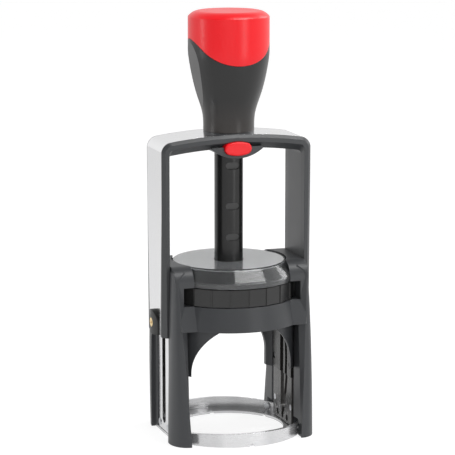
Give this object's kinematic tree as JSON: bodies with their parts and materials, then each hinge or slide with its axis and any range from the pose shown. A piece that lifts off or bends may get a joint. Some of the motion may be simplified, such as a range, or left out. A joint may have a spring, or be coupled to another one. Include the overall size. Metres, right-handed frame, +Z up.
{
  "type": "rotary date stamp",
  "caption": "Self-inking round date stamp with a sprung handle bow that turns its die from the ink pad down onto the paper.",
  "frame": {"origin": "centre of the base ring on the paper plane", "axes": "+Z up along the guide column; X across the bow; -Y the front, with the lock button"},
  "size_m": [0.074, 0.0672, 0.1923],
  "materials": {
    "housing_plastic": "fine moulded satin",
    "bow_plastic": "fine moulded satin",
    "grip_plastic": "soft-touch satin",
    "red_plastic": "satin gloss",
    "cartridge_plastic": "gloss",
    "clear_plastic": "polished clear",
    "label_card": "smooth",
    "polished_steel": "polished",
    "zinc_steel": "zinc plated",
    "cam_metal": "grey cast",
    "ring_metal": "bright brushed",
    "spring_steel": "drawn wire",
    "brass": "turned",
    "pad_foam": "ink-soaked foam",
    "die_rubber": "engraved rubber",
    "band_rubber": "moulded rubber",
    "wheel_plastic": "moulded",
    "carrier_plastic": "moulded"
  },
  "bodies": {
    "base": {"base_housing": "housing_plastic", "base_ring": "ring_metal", "ring_screws": "zinc_steel", "cam_plate_left": "cam_metal", "cam_plate_right": "cam_metal", "side_plate_left": "polished_steel", "side_plate_right": "polished_steel", "cam_screws": "zinc_steel", "plate_rivets": "zinc_steel", "guide_column": "cartridge_plastic", "column_screws": "zinc_steel", "index_label": "label_card", "index_window": "clear_plastic", "return_spring": "spring_steel"},
    "cartridge": {"pad_cartridge": "cartridge_plastic", "ink_pad": "pad_foam"},
    "bow": {"bow_frame": "bow_plastic", "strap_left": "polished_steel", "strap_right": "polished_steel", "pivot_boss_left": "bow_plastic", "pivot_boss_right": "bow_plastic", "pivot_pin_left": "brass", "pivot_pin_right": "brass", "handle_grip": "grip_plastic", "handle_cap": "red_plastic", "spring_seat": "carrier_plastic"},
    "lock": {"lock_button": "red_plastic", "lock_latch": "zinc_steel"},
    "carrier": {"carrier_frame": "carrier_plastic", "cam_followers": "zinc_steel", "die_plate": "cam_metal", "text_plate": "die_rubber", "band_bridge": "zinc_steel", "bridge_screws": "zinc_steel", "setting_axle": "zinc_steel", "day_tens_band": "band_rubber", "day_units_band": "band_rubber", "month_band": "band_rubber", "year_band": "band_rubber"},
    "day_tens_setting": {"day_tens_wheel": "wheel_plastic"},
    "day_units_setting": {"day_units_wheel": "wheel_plastic"},
    "month_setting": {"month_wheel": "wheel_plastic"},
    "year_setting": {"year_wheel": "wheel_plastic"}
  },
  "joints": [
    {"name": "press", "type": "slide", "parent": "base", "child": "bow", "axis": [0, 0, -1], "range_m": [0, 0.0425], "stiffness_N_per_m": 700, "springref_m": -0.015, "deforming": ["return_spring"]},
    {"name": "die_flip", "type": "hinge", "parent": "bow", "child": "carrier", "pos_m": [0, 0, 0.0525], "axis": [1, 0, 0], "range_deg": [0, 180]},
    {"name": "lock_slide", "type": "slide", "parent": "bow", "child": "lock", "axis": [0, 1, 0], "range_m": [0, 0.0015]},
    {"name": "pad_slide", "type": "slide", "parent": "base", "child": "cartridge", "axis": [0, -1, 0], "range_m": [0, 0.062]},
    {"name": "day_tens_set", "type": "hinge", "parent": "carrier", "child": "day_tens_setting", "pos_m": [-0.0075, 0, 0.0513], "axis": [1, 0, 0], "continuous": true},
    {"name": "day_units_set", "type": "hinge", "parent": "carrier", "child": "day_units_setting", "pos_m": [-0.0025, 0, 0.0513], "axis": [1, 0, 0], "continuous": true},
    {"name": "month_set", "type": "hinge", "parent": "carrier", "child": "month_setting", "pos_m": [0.0025, 0, 0.0513], "axis": [1, 0, 0], "continuous": true},
    {"name": "year_set", "type": "hinge", "parent": "carrier", "child": "year_setting", "pos_m": [0.0075, 0, 0.0513], "axis": [1, 0, 0], "continuous": true}
  ],
  "couplings": [
    {"joint": "die_flip", "follows": "press", "rad_per_m": 73.92}
  ]
}
